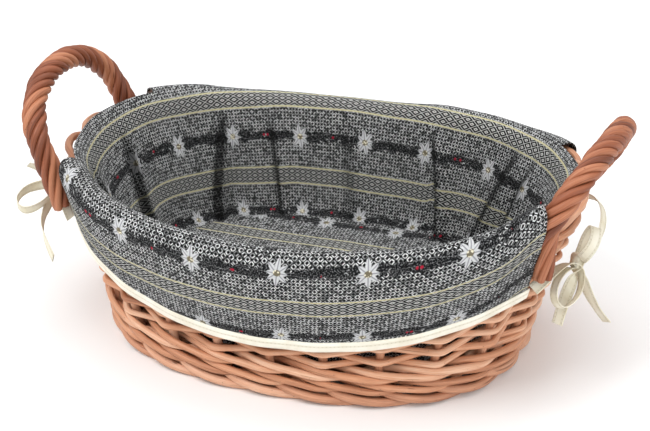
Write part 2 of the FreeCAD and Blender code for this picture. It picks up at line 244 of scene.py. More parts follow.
# ---- material helper ----
class Nodes:
    """Short names for the shader nodes that the materials are built from."""

    def __init__(self, name):
        self.material = bpy.data.materials.new(name)
        self.material.use_nodes = True
        self.tree = self.material.node_tree
        self.shader = self.tree.nodes["Principled BSDF"]

    def node(self, kind, **settings):
        made = self.tree.nodes.new(kind)
        for key, value in settings.items():
            setattr(made, key, value)
        return made

    def put(self, socket, value):
        if isinstance(value, bpy.types.NodeSocket):
            self.tree.links.new(value, socket)
        else:
            socket.default_value = value

    def math(self, operation, a, b=0.0, c=0.0):
        made = self.node("ShaderNodeMath", operation=operation)
        for socket, value in zip(made.inputs, (a, b, c)):
            self.put(socket, value)
        return made.outputs[0]

    def add(self, a, b):
        return self.math("ADD", a, b)

    def sub(self, a, b):
        return self.math("SUBTRACT", a, b)

    def mul(self, a, b):
        return self.math("MULTIPLY", a, b)

    def less(self, a, limit, soft):
        """1 where a is under the limit, going to 0 over a soft width."""
        return self.scale(a, limit + soft / 2, limit - soft / 2, 0.0, 1.0)

    def scale(self, value, low, high, new_low, new_high):
        made = self.node("ShaderNodeMapRange")
        for socket, number in zip(made.inputs, (value, low, high, new_low, new_high)):
            self.put(socket, number)
        return made.outputs[0]

    def mix(self, share, a, b):
        made = self.node("ShaderNodeMix", data_type="RGBA")
        self.put(made.inputs[0], share)
        self.put(made.inputs[6], a)
        self.put(made.inputs[7], b)
        return made.outputs[2]

    def join(self, x, y, z=0.0):
        made = self.node("ShaderNodeCombineXYZ")
        for socket, value in zip(made.inputs, (x, y, z)):
            self.put(socket, value)
        return made.outputs[0]

    def split_print(self):
        """The print coordinates in millimetres."""
        made = self.node("ShaderNodeSeparateXYZ")
        self.put(made.inputs[0], self.node("ShaderNodeUVMap", uv_map="print").outputs[0])
        return made.outputs[0], made.outputs[1]

    def object_place(self, stretch=(1.0, 1.0, 1.0)):
        """The object's own coordinates in millimetres, stretched."""
        made = self.node("ShaderNodeMapping")
        self.put(made.inputs["Vector"], self.node("ShaderNodeTexCoord").outputs["Object"])
        made.inputs["Scale"].default_value = [s / MM for s in stretch]
        return made.outputs[0]

    def noise(self, place, size, detail=3.0):
        made = self.node("ShaderNodeTexNoise")
        self.put(made.inputs["Vector"], place)
        made.inputs["Scale"].default_value = 1.0 / size
        made.inputs["Detail"].default_value = detail
        return made.outputs[0]

    def dots(self, place, size):
        """Distance to the nearest of scattered points, in cells."""
        made = self.node("ShaderNodeTexVoronoi")
        self.put(made.inputs["Vector"], place)
        made.inputs["Scale"].default_value = 1.0 / size
        return made.outputs["Distance"]

    def chance(self, place):
        made = self.node("ShaderNodeTexWhiteNoise")
        self.put(made.inputs["Vector"], place)
        return made.outputs["Value"]

    def tone(self):
        return self.node("ShaderNodeAttribute", attribute_name="tone").outputs["Fac"]

    def finish(self, colour, roughness, height=None, depth=0.0003, specular=0.4, **numbers):
        self.put(self.shader.inputs["Base Color"], colour)
        self.put(self.shader.inputs["Roughness"], roughness)
        self.shader.inputs["Specular IOR Level"].default_value = specular
        for key, value in numbers.items():
            self.shader.inputs[key].default_value = value
        if height is not None:
            bump = self.node("ShaderNodeBump")
            bump.inputs["Distance"].default_value = depth
            self.put(bump.inputs["Height"], height)
            self.put(self.shader.inputs["Normal"], bump.outputs[0])
        return self.material


def rgb(r, g, b):
    """Linear colour from the usual 0 to 255 values."""
    return tuple((c / 255) ** 2.2 for c in (r, g, b)) + (1.0,)


# ---- materials ----
def willow(name, dark, middle, pale, on_rods=True):
    """Buff willow: each rod has its own tone, with streaks along it, leaf scars and dark specks."""
    n = Nodes(name)
    if on_rods:
        along, around = n.split_print()
        tone = n.tone()
        streaks = n.join(n.mul(along, 0.03), n.mul(around, 0.9))
        place = n.join(along, around)
    else:
        place = n.object_place()
        streaks = n.object_place((0.1, 0.9, 0.9))
        tone = n.noise(n.object_place((0.02, 0.3, 0.3)), 4.0, 1.0)
    grain = n.noise(streaks, 0.8, 5.0)
    cloudy = n.noise(place, 26.0, 2.0)
    level = n.add(n.mul(n.sub(grain, 0.5), 0.9), n.add(tone, n.mul(n.sub(cloudy, 0.5), 0.55)))
    colour = n.mix(n.scale(level, 0.0, 0.5, 0.0, 1.0), dark, middle)
    colour = n.mix(n.scale(level, 0.5, 1.05, 0.0, 1.0), colour, pale)
    scar_place = n.join(n.mul(along, 0.03), n.mul(around, 0.12)) if on_rods else place
    scars = n.less(n.dots(scar_place, 1.0), 0.07, 0.05)
    specks = n.less(n.dots(place, 4.5), 0.075, 0.05)
    bark = n.mul(n.less(n.noise(streaks, 1.7, 2.0), 0.33, 0.05), 0.55)
    marks = n.math("MAXIMUM", n.mul(specks, 0.65), n.math("MAXIMUM", bark, n.mul(scars, 0.75)))
    colour = n.mix(marks, colour, rgb(92, 50, 30))
    height = n.sub(n.mul(grain, 0.8), marks)
    return n.finish(colour, n.scale(grain, 0.3, 0.7, 0.42, 0.6), height, 0.00025, specular=0.45)


def cotton(name, colour, shade):
    """Plain woven cotton tape with a stitched line near one edge."""
    n = Nodes(name)
    along, across = n.split_print()
    weft = n.math("SINE", n.mul(along, 9.0))
    warp = n.math("SINE", n.mul(across, 9.0))
    weave = n.mul(weft, warp)
    on_line = n.less(n.math("ABSOLUTE", n.sub(n.math("ABSOLUTE", across), 2.6)), 0.28, 0.1)
    dash = n.less(n.math("FRACT", n.mul(along, 0.4)), 0.72, 0.1)
    stitch = n.mul(on_line, dash)
    groove = n.less(n.math("ABSOLUTE", n.sub(n.math("ABSOLUTE", across), 2.6)), 0.5, 0.3)
    cloudy = n.noise(n.join(along, across), 14.0, 2.0)
    base = n.mix(n.scale(cloudy, 0.3, 0.7, 0.0, 1.0), colour, shade)
    # Painted shade: the groove along the stitch line is darkened in colour, besides being sunk by the bump.
    base = n.mix(n.mul(groove, 0.4), base, rgb(176, 160, 120))
    base = n.mix(n.mul(stitch, 0.5), base, rgb(250, 246, 232))
    height = n.add(n.mul(weave, 0.25), n.sub(n.mul(stitch, 0.6), groove))
    return n.finish(base, 0.82, height, 0.00025, specular=0.2)


FLOWER_PITCH = 54.0
ROW_PITCH = 60.0
VINE_ROW = 17.0
BAND_ROW = 46.0
BAND_HALF = 5.8
ECRU_WIDTH = 1.2


def row_distance(n, v, middle):
    """Signed distance from the nearest of the rows that repeat along v."""
    shifted = n.add(n.sub(v, middle), ROW_PITCH / 2)
    return n.sub(n.math("FLOORED_MODULO", shifted, ROW_PITCH), ROW_PITCH / 2)


DASH_CELL = 2.5


def parquet(n, u, v):
    """Pairs of short pale dashes on black, slanted one way and the other from cell to cell."""
    column = n.math("FLOOR", n.mul(u, 1 / DASH_CELL))
    row = n.math("FLOOR", n.mul(v, 1 / DASH_CELL))
    a = n.sub(n.math("FRACT", n.mul(u, 1 / DASH_CELL)), 0.5)
    b = n.sub(n.math("FRACT", n.mul(v, 1 / DASH_CELL)), 0.5)
    slant = n.sub(n.mul(n.math("FLOORED_MODULO", n.add(column, row), 2.0), 2.0), 1.0)
    across = n.add(a, n.mul(b, slant))
    along = n.math("ABSOLUTE", n.sub(a, n.mul(b, slant)))
    stripe = n.math("ABSOLUTE", n.sub(n.math("ABSOLUTE", across), 0.34))
    dash = n.mul(n.less(stripe, 0.175, 0.07), n.less(along, 0.55, 0.1))
    bright = n.chance(n.join(column, row, n.math("SIGN", across)))
    return n.mul(dash, n.scale(bright, 0.0, 0.8, 0.08, 0.94))


DIAMOND_WIDE = 9.5
DIAMOND_HIGH = 5.8


def diamonds(n, u, y):
    """A white lattice on black, with a small white diamond and a black dot in each gap."""
    p = n.mul(u, 1 / DIAMOND_WIDE)
    q = n.mul(y, 1 / DIAMOND_HIGH)
    rising = n.math("ABSOLUTE", n.sub(n.math("FRACT", n.add(p, q)), 0.5))
    falling = n.math("ABSOLUTE", n.sub(n.math("FRACT", n.sub(p, q)), 0.5))
    lattice = n.sub(1.0, n.mul(n.less(rising, 0.455, 0.035), n.less(falling, 0.455, 0.035)))
    middle = n.math("MAXIMUM", rising, falling)
    stone = n.sub(n.less(middle, 0.22, 0.05), n.less(middle, 0.085, 0.05))
    return n.math("MAXIMUM", lattice, stone)


PETALS = 8


def flowers(n, u, y):
    """Eight-petalled alpine flowers in a row: share of white, share of grey vein, and centre."""
    cell = n.math("FLOOR", n.mul(u, 1 / FLOWER_PITCH))
    x = n.sub(n.sub(u, n.mul(cell, FLOWER_PITCH)), FLOWER_PITCH / 2)
    nudge = n.chance(n.join(cell, 3.0))
    x = n.add(x, n.mul(n.sub(nudge, 0.5), 7.0))
    y = n.add(y, n.mul(n.sub(n.chance(n.join(cell, 8.0)), 0.5), 3.0))
    radius = n.math("SQRT", n.add(n.mul(x, x), n.mul(y, y)))
    angle = n.math("ARCTAN2", y, x)
    upright = n.math("ABSOLUTE", n.math("SINE", angle))
    reach = n.add(6.6, n.mul(n.mul(upright, upright), 3.8))
    turned = n.add(n.mul(angle, PETALS / (2 * math.pi)), nudge)
    petal = n.sub(n.math("FRACT", turned), 0.5)
    lateral = n.mul(radius, n.math("SINE", n.mul(n.math("ABSOLUTE", petal), 2 * math.pi / PETALS)))
    place = n.math("DIVIDE", radius, reach)
    width = n.mul(n.math("SINE", n.mul(n.math("MINIMUM", place, 1.0), math.pi)), 1.75)
    white = n.scale(n.sub(width, lateral), -0.15, 0.25, 0.0, 1.0)
    vein = n.mul(white, n.less(lateral, 0.35, 0.3))
    centre = n.less(radius, 2.3, 0.5)
    return n.math("MAXIMUM", white, centre), vein, centre, x


def printed_cloth():
    """Dark cotton with a herringbone ground, ecru lines, lattice bands and flower garlands."""
    n = Nodes("printed_cotton")
    u, v = n.split_print()
    ink = rgb(20, 20, 22)
    ash = rgb(238, 240, 240)
    colour = n.mix(parquet(n, u, v), ink, ash)
    band = row_distance(n, v, BAND_ROW)
    inside_band = n.less(n.math("ABSOLUTE", band), BAND_HALF, 0.2)
    lattice = n.mix(diamonds(n, u, band), rgb(14, 14, 15), rgb(206, 207, 204))
    colour = n.mix(inside_band, colour, lattice)
    edge = n.math("ABSOLUTE", n.sub(n.math("ABSOLUTE", band), BAND_HALF + ECRU_WIDTH / 2))
    colour = n.mix(n.less(edge, ECRU_WIDTH / 2, 0.25), colour, rgb(202, 196, 158))
    vine = row_distance(n, v, VINE_ROW)
    place = n.join(u, v)
    drift = n.mul(n.sub(n.noise(place, 12.0, 3.0), 0.5), 11.0)
    reach = n.add(n.math("ABSOLUTE", n.add(vine, drift)), n.mul(n.noise(place, 2.2, 2.0), 2.2))
    gaps = n.less(n.noise(place, 4.5, 2.0), 0.63, 0.05)
    leaves = n.mul(n.less(reach, 4.9, 1.0), gaps)
    flecks = n.mul(n.less(n.noise(place, 0.9, 2.0), 0.42, 0.06), 0.7)
    colour = n.mix(leaves, colour, n.mix(flecks, rgb(17, 17, 19), rgb(142, 143, 145)))
    white, vein, centre, x = flowers(n, u, vine)
    side = n.sub(n.math("ABSOLUTE", x), FLOWER_PITCH / 2)
    berry = n.math("SQRT", n.add(n.mul(side, side), n.mul(n.sub(vine, 1.0), n.sub(vine, 1.0))))
    colour = n.mix(n.less(berry, 1.0, 0.3), colour, rgb(178, 38, 60))
    shaded = n.mix(n.mul(n.noise(place, 1.6, 2.0), 0.5), rgb(228, 229, 230), rgb(140, 142, 147))
    petals = n.mix(n.mul(vein, 0.75), shaded, rgb(120, 122, 128))
    seeds = n.mix(n.less(n.dots(place, 1.5), 0.42, 0.1), rgb(120, 112, 92), rgb(236, 230, 206))
    colour = n.mix(white, colour, n.mix(centre, petals, seeds))
    # Painted shade: the print goes towards black where the tone attribute marks a deep crease.
    colour = n.mix(n.scale(n.tone(), 0.5, 1.0, 0.0, 0.85), colour, rgb(12, 12, 13))
    weave = n.mul(n.math("SINE", n.mul(u, 11.0)), n.math("SINE", n.mul(v, 11.0)))
    height = n.add(n.mul(weave, 0.4), n.noise(place, 5.0, 2.0))
    return n.finish(colour, 0.88, height, 0.0003, specular=0.18)


def plain(name, colour):
    n = Nodes(name)
    return n.finish(colour, 0.9, specular=0.1)


STAKE_WILLOW = willow("buff_willow_stakes", rgb(146, 92, 66), rgb(204, 148, 116), rgb(234, 194, 166))
WOVEN_WILLOW = willow("buff_willow_weavers", rgb(144, 89, 62), rgb(203, 144, 109), rgb(236, 199, 170))
HANDLE_WILLOW = willow("buff_willow_handles", rgb(86, 43, 26), rgb(146, 84, 56), rgb(192, 130, 96))
BASE_WILLOW = willow("buff_willow_base", rgb(140, 84, 56), rgb(196, 136, 100), rgb(226, 180, 146), False)
PRINT = printed_cloth()
HEM_COTTON = cotton("hem_cotton", rgb(246, 242, 229), rgb(232, 225, 206))
TIE_COTTON = cotton("tie_cotton", rgb(240, 236, 220), rgb(222, 213, 186))


# ---- willow ----
STAKE_ROUTE = [(2.3, 4.6, -5.2), (1.9, 3.0, -1.8), (1.45, 2.9, 1.9), (0.95, 4.8, 5.8),
               (0.45, 7.8, 5.6), (0.04, 10.6, 0.6), (0.0, 19.0, 0.0), (0.0, 62.0, 0.0),
               (0.0, 99.0, 0.0), (0.15, 104.5, 3.3), (0.5, 109.2, 5.5), (0.92, 109.8, 4.2),
               (1.18, 110.0, 0.6), (1.5, 107.5, -3.4), (1.9, 102.8, -5.6)]


def stake(k):
    """One upright: foot toe on the floor, upright in the side, end laid down in the border."""
    u, z, off = np.array(STAKE_ROUTE).T
    line = rounded(side_point(k + u, z, off), 3)
    line = resampled(line, 2.5)
    taper = np.linspace(1.03, 0.93, len(line))
    b = Builder()
    b.tube(line, STAKE_R * taper * rng.uniform(0.97, 1.03), rng.uniform(0.3, 0.68))
    line_floor = b.verts[0]
    line_floor[:, 2] = np.maximum(line_floor[:, 2], 0.05)
    name = "stake_%02d" % (k + 1)
    return b.make(name + "_rod", STAKE_WILLOW, [name])


ROW_COUNT = 13
ROW_FIRST_Z = 32.0
ROW_STEP = 4.72
RODS_PER_ROW = 3
ROW_REACH = STAKE_R + WEAVER_R + 1.1


def weave_row(index):
    """One round of randing, made of three rods that each start behind a stake."""
    b = Builder()
    span = STAKE_COUNT // RODS_PER_ROW
    for piece in range(RODS_PER_ROW):
        first = 5 * index + span * piece
        first += (first + index) % 2
        steps = np.arange(span + 1)
        k = first + steps
        side = np.where((k + index) % 2 == 1, 1.0, -1.0)
        u = k + np.where(steps == 0, -0.12, 0.0) + np.where(steps == span, 0.18, 0.0)
        z = ROW_FIRST_Z + ROW_STEP * index + rng.normal(0, 0.3, span + 1)
        off = side * ROW_REACH + np.where(side > 0, rng.uniform(-0.3, 0.4, span + 1), 0.0)
        line = resampled(bent(side_point(u, z, off)), 2.0)
        taper = np.linspace(1.1, 0.86, len(line))
        b.tube(line, WEAVER_R * taper * rng.uniform(0.97, 1.05), rng.uniform(0.25, 0.9))
    name = "weave_row_%02d" % (index + 1)
    return b.make(name + "_rods", WOVEN_WILLOW, [name])


WALE_HALF_STEP = 2.45
WALE_REACH = STAKE_R + WEAVER_R + 0.4


def wale(name, middle_z, start):
    """Three strands, each in front of two stakes and behind the third."""
    b = Builder()
    for strand in range(3):
        places = []
        for step in range(STAKE_COUNT + 1):
            phase = step % 3
            k = start + strand + step
            lift = rng.normal(0, 0.2)
            if phase == 0:
                places.append((k, middle_z, -WALE_REACH - 0.5))
                half = (0.0, WALE_HALF_STEP)
            elif phase == 1:
                places.append((k, middle_z + WALE_HALF_STEP + lift, WALE_REACH + 0.1))
                half = (WALE_REACH + 0.7, 0.0)
            else:
                places.append((k, middle_z - WALE_HALF_STEP + lift, WALE_REACH + 0.1))
                half = (0.0, -WALE_HALF_STEP)
            if step < STAKE_COUNT:
                places.append((k + 0.5, middle_z + half[1], half[0]))
        line = through(side_point(*np.array(places).T), 8)
        swell = 1.06 + 0.07 * np.sin(arc_length(line) / 70 + strand)
        b.tube(line[3:-3], WEAVER_R * swell[3:-3], rng.uniform(0.3, 0.75))
    return b.make(name + "_rods", WOVEN_WILLOW, [name])


WALES = [("lower_wale_1", 15.0, 0), ("lower_wale_2", 24.7, 7), ("upper_wale", 95.8, 5)]


def finish_base():
    """The base keeps its CAD rods; they get the willow finish."""
    for name in ("base_long_sticks", "base_cross_sticks", "base_bye_sticks", "base_weave"):
        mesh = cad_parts[name].data
        mesh.materials.clear()
        mesh.materials.append(BASE_WILLOW)


# ---- handles ----
HANDLE_CORE_R = 3.1
HANDLE_STRAND_R = 2.45
HANDLE_STRANDS = 6
HANDLE_PITCH = 48.0
LEG_X = 171.0
LEG_Y = 60.0
FOOT_X = 162.0
FOOT_Z = 90.0
RISE_Z = 120.0
TOP_X = 190.5
HANDLE_BOWS = {1: (159.0, -4.0, 10.5), -1: (166.0, -8.0, 0.0)}


def handle_line(end):
    """Centre line of a handle: up from the wall, round the bow and down to the wall."""
    top_z, shift, twist = HANDLE_BOWS[end]
    t = np.array((0, 1, 2, 3.5, 5.2, 6.8, 8.5, 10, 11, 12)) / 12
    angle = np.pi * t
    power = 2 / 2.3
    rise = np.abs(np.sin(angle)) ** power
    rise[[0, -1]] = 0
    across = -np.sign(np.cos(angle)) * np.abs(np.cos(angle)) ** power
    bow = np.stack([end * (LEG_X + (TOP_X - LEG_X) * rise + twist * across), LEG_Y * across + shift,
                    RISE_Z + (top_z - RISE_Z) * rise], axis=-1)
    front = np.array([[end * FOOT_X, shift / 2 - LEG_Y - 4, FOOT_Z]])
    back = np.array([[end * FOOT_X, shift / 2 + LEG_Y + 4, FOOT_Z]])
    return resampled(rounded(np.concatenate([front, bow, back]), 4), 1.5)


def handle(end, word):
    """A bow of straight rods with six rods twisted round it, loosening at the legs."""
    line = handle_line(end)
    tangent = unit(np.gradient(line, axis=0))
    side = unit(np.cross(tangent, np.array([1.0, 0.0, 0.25])))
    other = np.cross(tangent, side)
    length = arc_length(line)
    from_end = np.minimum(length, length[-1] - length)
    rate = 0.55 + 0.45 * np.clip((from_end - 18) / 30, 0, 1)
    turns = np.concatenate([[0], np.cumsum((rate[1:] + rate[:-1]) / 2 * np.diff(length))]) / HANDLE_PITCH
    loose = np.clip(1 - from_end / 42, 0, 1) ** 1.5
    outward = np.array([end, 0.0, 0.0])
    b = Builder()
    for strand in range(HANDLE_STRANDS):
        share = strand / HANDLE_STRANDS + rng.uniform(-0.012, 0.012)
        angle = 2 * np.pi * (share + turns)
        wander = 0.35 * np.sin(length / 17 + strand * 1.9)
        radius = HANDLE_CORE_R + HANDLE_STRAND_R - 0.1 + loose * 1.3 + wander
        offset = side * (radius * np.cos(angle))[:, None] + other * (radius * np.sin(angle))[:, None]
        flat = offset - outward * (offset @ outward)[:, None] * (0.45 * loose)[:, None]
        strand_line = line + flat
        swell = HANDLE_STRAND_R * (1.05 + 0.06 * np.sin(length / 31 + strand * 2.1))
        b.tube(strand_line, swell, rng.uniform(0.25, 0.8))
    b.make(word + "_handle_rope", HANDLE_WILLOW, [word + "_handle_strands"])
    core = Builder()
    core.tube(line, HANDLE_CORE_R - 0.1, 0.1, 14)
    core.make(word + "_handle_bow", HANDLE_WILLOW, [word + "_handle_core"])


# ---- cloth liner ----
COLUMNS_PER_STAKE = 30
LINER_OFF = -9.3
CUFF_OFF = 11.0
ROLL_Z = 104.0
ROLL_RISE = 11.7
QUARTER_ROLL = 17.0                # length of cloth in the outer quarter of the roll
LINER_BOTTOM_Z = 20.6
BOTTOM_CORNER = 8.0
HEM_MIDDLE_Z = 46.0
HEM_END_Z = 75.0
HEM_END_X = 156.0
CUFF_LEAN = 1.6
HEM_DRAW = 0.0077                  # how much the print closes up towards the hem
HEM_DRAW_FROM = 30.0
CUFF_ENDS = {"front": (13.75, 22.25), "back": (1.75, 10.25)}
ROLL_ROWS = 17
END_TOP_ROW = 5
CUFF_TOP_ROW = 12
WALL_ROWS = 64
CORNER_ROWS = 6
OUTSIDE_ROWS = 60
CREST_LIFTS = [(0.0, 0.0), (1.1, -0.5), (1.8, 0.5), (3.0, -0.5), (3.8, 1.5), (4.6, 3.0), (5.3, 1.0),
               (6.0, 0.0), (7.4, -1.2), (8.2, -1.4), (8.8, -0.5), (9.4, 2.0), (10.2, 2.0), (11.2, 0.5),
               (12.6, 0.0), (13.9, 2.0), (15.0, -1.5), (16.5, -0.5), (18.0, 1.0), (19.6, 2.5),
               (20.8, 4.0), (21.6, 7.5), (22.25, 14.0), (23.1, 3.0), (24.0, 0.0)]


def crest_lift(u):
    """How far the soft top of the liner stands above or below an even fold over the border."""
    at = np.array(CREST_LIFTS)
    fine = through(at, 12)
    return np.interp(u % STAKE_COUNT, fine[:, 0], fine[:, 1])


def hem_height(u):
    """Height of a cuff's hem, as z on the side, from its bow seen from the front."""
    x = side_point(u, 80.0, CUFF_OFF)[..., 0]
    world = HEM_MIDDLE_Z + (HEM_END_Z - HEM_MIDDLE_Z) * np.minimum(np.abs(x) / HEM_END_X, 1.06) ** 2
    rise = end_rise(u) / (WALL_TOP_Z - WALL_BOTTOM_Z)
    return (world + rise * WALL_BOTTOM_Z) / (1 + rise)


def bell(x, width):
    return np.exp(-(x / width) ** 2)


PLEATS = [(8.9, 9.55, 0.15, 10.0), (8.0, 7.9, 0.12, 6.0), (4.65, 4.1, 0.14, 11.0), (2.6, 3.2, 0.24, 13.0),
          (2.05, 2.45, 0.2, 9.0), (11.4, 11.7, 0.25, 7.0), (13.1, 13.3, 0.22, 6.0), (0.6, 0.3, 0.3, 8.0),
          (15.5, 15.1, 0.2, 6.0), (19.6, 20.1, 0.2, 6.0), (21.8, 21.5, 0.22, 7.0), (6.4, 6.2, 0.3, 3.0)]


def crease_shade(u, z):
    """Tone over 0.5 where the cloth is folded on itself and hardly lit."""
    depth = (ROLL_Z - z) / (ROLL_Z - LINER_BOTTOM_Z)
    tone = np.full(np.broadcast(u, z).shape, 0.5)
    for top, bottom, width, height in PLEATS:
        middle = top + (bottom - top) * depth + 0.25 * width
        tone = tone + 0.09 * height * bell(u - middle, 0.5 * width) * np.clip(depth * 4, 0, 1)
    return np.minimum(tone, 1.0)


def pleat(x, width):
    """A fold of cloth: a slow slope on one side and a sharp drop on the other."""
    return np.where(x > 0, bell(x, 0.3 * np.abs(width)), bell(x, 1.6 * np.abs(width)))


def folds(u, z):
    """How far the inside of the liner stands in from an even wall, in soft waves and pleats."""
    depth = (ROLL_Z - z) / (ROLL_Z - LINER_BOTTOM_Z)
    full = np.clip(depth * 3.2 + 0.25, 0, 1)
    inward = 0.8 + 0.8 * np.sin(2.1 * u + 1.0 + 1.2 * depth) * np.sin(0.9 * u + 2.0)
    for top, bottom, width, height in PLEATS:
        middle = top + (bottom - top) * depth
        inward = inward + height * pleat(u - middle, width) * (0.35 + 0.65 * depth)
    return inward * full


def liner_grid():
    """The whole cloth as one grid: rows from the hem, over the border and down to the floor."""
    u = np.arange(STAKE_COUNT * COLUMNS_PER_STAKE) / COLUMNS_PER_STAKE
    lift = crest_lift(u)
    hem = hem_height(u)
    centre = (CUFF_OFF + LINER_OFF) / 2
    half = (CUFF_OFF - LINER_OFF) / 2
    rim_wave = 0.7 * np.sin(3.1 * u) * np.sin(1.3 * u + 0.5)
    rows = []
    for share in np.linspace(1, 0, OUTSIDE_ROWS + 1)[:-1]:
        drop = share * (ROLL_Z - hem + QUARTER_ROLL)
        angle = np.clip(drop / QUARTER_ROLL, 0, 1) * np.pi / 2
        z = ROLL_Z + (ROLL_RISE + lift) * np.cos(angle) - np.maximum(drop - QUARTER_ROLL, 0)
        hang = share ** 1.5 * (0.8 * np.sin(1.7 * u + 0.6) * np.sin(0.6 * u) + 0.8 - CUFF_LEAN)
        ripple = 0.5 * np.sin(6.3 * u + 2 * share) * share * np.sin(1.1 * u)
        rows.append(side_point(u, z, centre + half * np.sin(angle) + hang + ripple + rim_wave * (1 - share)))
    for i in range(ROLL_ROWS + 1):
        angle = i / ROLL_ROWS * np.pi / 2
        z = ROLL_Z + (ROLL_RISE + lift) * np.cos(angle)
        off = centre - half * np.sin(angle) + rim_wave * np.cos(angle) ** 2
        rows.append(side_point(u, z, off - folds(u, z) * np.sin(angle) ** 3))
    for i in range(1, WALL_ROWS + 1):
        z = ROLL_Z - (ROLL_Z - LINER_BOTTOM_Z - BOTTOM_CORNER) * i / WALL_ROWS
        rows.append(side_point(u, z, LINER_OFF - folds(u, np.full_like(u, z))))
    for i in range(1, CORNER_ROWS + 1):
        angle = i / CORNER_ROWS * np.pi / 2
        z = LINER_BOTTOM_Z + BOTTOM_CORNER * (1 - np.sin(angle))
        off = LINER_OFF - BOTTOM_CORNER * (1 - np.cos(angle))
        fade = np.cos(angle) * 0.7 + 0.3
        rows.append(side_point(u, z, off - folds(u, np.full_like(u, z)) * fade))
    grid = np.stack(rows)
    grid[-1, :, 2] = LINER_BOTTOM_Z
    return u, grid


def liner_uv(u, grid, lift):
    """Print coordinates: along the rim, and down from the crest, level with the floor inside."""
    crest = OUTSIDE_ROWS
    steps = np.linalg.norm(np.diff(grid, axis=0), axis=2)
    down = np.concatenate([np.zeros((1, len(u))), np.cumsum(steps, axis=0)])
    v = down[crest] - down + lift + end_rise(u)
    v = v + HEM_DRAW * np.maximum(v - HEM_DRAW_FROM, 0.0) ** 2
    closed = np.concatenate([v, v[:, :1]], axis=1)
    length = RIM[5] * np.arange(len(u) + 1) / len(u)
    return np.stack([np.broadcast_to(length, closed.shape), closed], axis=-1)


def between(u, low, high):
    return (u >= low - 1e-6) & (u < high - 1e-6)


def wall_crease_shade(u):
    """Painted crease shade on every row of the cloth; only the inside has creases."""
    count = WALL_ROWS + CORNER_ROWS
    inside = ROLL_Z - (ROLL_Z - LINER_BOTTOM_Z) * np.arange(1, count + 1) / count
    outside = np.full((OUTSIDE_ROWS + ROLL_ROWS + 1, len(u)), 0.5)
    return np.concatenate([outside, crease_shade(u[None], inside[:, None])])


def make_liner():
    """Liner wall, floor, two cuffs and their taped hems, all from one grid."""
    u, grid = liner_grid()
    uv = liner_uv(u, grid, crest_lift(u))
    under_cuff = between(u, *CUFF_ENDS["front"]) | between(u, *CUFF_ENDS["back"])
    row = np.arange(len(grid))[:, None]
    first = np.where(under_cuff, OUTSIDE_ROWS + CUFF_TOP_ROW, OUTSIDE_ROWS + END_TOP_ROW)
    wall = Builder()
    wall.grid(grid, uv, closed_v=True, keep=row >= first[None], tone=wall_crease_shade(u))
    wall_obj = wall.make("liner_wall_cloth", PRINT, ["liner_wall"])
    thicken(wall_obj)
    cuffs = {}
    for word, ends in CUFF_ENDS.items():
        cloth = Builder()
        keep = (row < OUTSIDE_ROWS + CUFF_TOP_ROW) & between(u, *ends)[None]
        cloth.grid(grid, uv, closed_v=True, keep=keep)
        cuffs[word] = cloth.make(word + "_cuff_cloth", PRINT, [word + "_cuff"])
        thicken(cuffs[word])
        hem_tape(word, ends, u, grid)
    floor = liner_floor(grid[-1])
    return wall_obj, floor, cuffs


def thicken(obj):
    solid = obj.modifiers.new("thickness", "SOLIDIFY")
    solid.thickness = 0.0008
    solid.offset = 0.0


def hem_tape(word, ends, u, grid):
    """Bias tape folded round the hem: up its outside, over the edge and up its inside."""
    chosen = between(u, ends[0], ends[1] + 2 / COLUMNS_PER_STAKE)
    strip = grid[:, chosen]
    hem = strip[0]
    up = unit(strip[6] - strip[0])
    out = unit(np.cross(np.gradient(hem, axis=0), up))
    length = arc_length(hem)
    profile = [(7.0, 0.5), (7.1, 0.9), (6.4, 1.15), (3.5, 1.2), (0.8, 1.2), (-0.6, 1.0), (-1.3, 0.2),
               (-1.2, -0.6), (-0.4, -1.1), (1.0, -1.2), (6.0, -1.2), (6.2, -0.8), (6.1, -0.5)]
    rows = []
    for height, outward in profile:
        rows.append(hem + up * height + out * outward)
    across = np.array([height if outward > 0 else -height for height, outward in profile]) - 1.2
    uv = np.stack(np.meshgrid(across, length, indexing="ij"), axis=-1)[..., ::-1]
    b = Builder()
    b.grid(np.stack(rows), uv)
    b.make(word + "_hem_binding", HEM_COTTON, [word + "_hem_tape"])


def liner_floor(edge):
    """Flat bottom of the liner, slightly puckered at its seam."""
    rings = 36
    share = np.linspace(1, 0.02, rings)[:, None, None]
    points = edge[None] * share
    radius = share[..., 0]
    turn = np.arctan2(edge[:, 1], edge[:, 0])[None]
    ripple = 0.7 * np.sin(9 * turn) * radius ** 4 + 0.5 * np.sin(3 * turn + 5 * radius)
    points[..., 2] = LINER_BOTTOM_Z + ripple * np.sin(np.pi * radius) - 0.05
    uv = np.concatenate([points[..., :2], points[:, :1, :2]], axis=1) + (700.0, 52.0)
    b = Builder()
    b.grid(points, uv, closed_v=True)
    obj = b.make("liner_floor_cloth", PRINT, ["liner_floor"])
    thicken(obj)
    return obj


